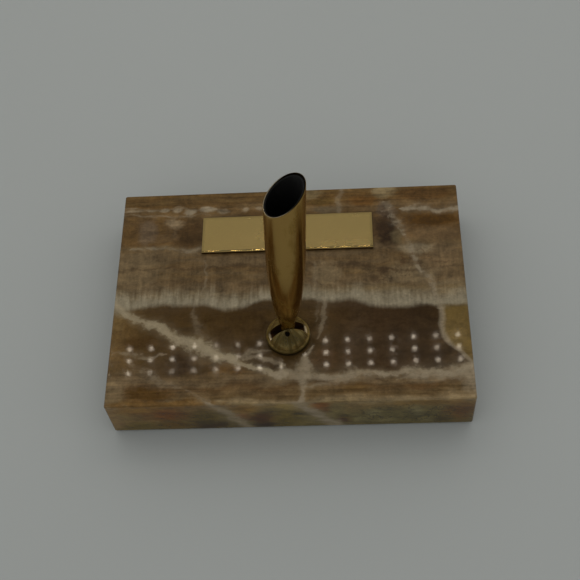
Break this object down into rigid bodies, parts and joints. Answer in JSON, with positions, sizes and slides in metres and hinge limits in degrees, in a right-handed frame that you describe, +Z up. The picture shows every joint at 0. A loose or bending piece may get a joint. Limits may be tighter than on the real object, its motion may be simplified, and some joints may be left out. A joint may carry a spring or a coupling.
{
  "type": "pen stand",
  "caption": "Desk pen stand: a polished banded stone slab with a blank brass name plate and a brass pen funnel that swivels and tilts in a slotted dome.",
  "frame": {"origin": "middle of the slab's footprint, on the surface that the felt pads stand on", "axes": "+X along the slab's long side to the right, +Y to the back towards the name plate, +Z up"},
  "size_m": [0.1524, 0.108, 0.128],
  "materials": {
    "onyx": "polished",
    "plate_brass": "satin",
    "brass": "polished",
    "bronze": "satin",
    "steel": "satin",
    "dark_steel": "satin",
    "black_plastic": "matte",
    "tape": "matte",
    "fibre": "matte",
    "felt": "matte"
  },
  "bodies": {
    "base": {"onyx_slab": "onyx", "name_plate": "plate_brass", "plate_adhesive": "tape", "seat_washer": "fibre", "flat_washer": "steel", "felt_pad_front_left": "felt", "felt_pad_front_right": "felt", "felt_pad_rear_left": "felt", "felt_pad_rear_right": "felt"},
    "swivel": {"swivel_dome": "brass", "pivot_pin": "brass", "friction_washers": "bronze", "pin_set_screw": "dark_steel", "mounting_stud": "steel", "spring_washer": "steel", "tension_nut": "steel", "lock_nut": "steel"},
    "funnel": {"funnel_shell": "brass", "socket_liner": "black_plastic", "funnel_tongue": "brass"}
  },
  "joints": [
    {"name": "swivel_turn", "type": "hinge", "parent": "base", "child": "swivel", "pos_m": [-0.0001, -0.0234, 0.0248], "axis": [0, 0, 1], "continuous": true},
    {"name": "funnel_tilt", "type": "hinge", "parent": "swivel", "child": "funnel", "pos_m": [-0.0001, -0.0234, 0.03036], "axis": [-0.2079, 0.9781, 0], "range_deg": [-53.2, 46.8]}
  ]
}
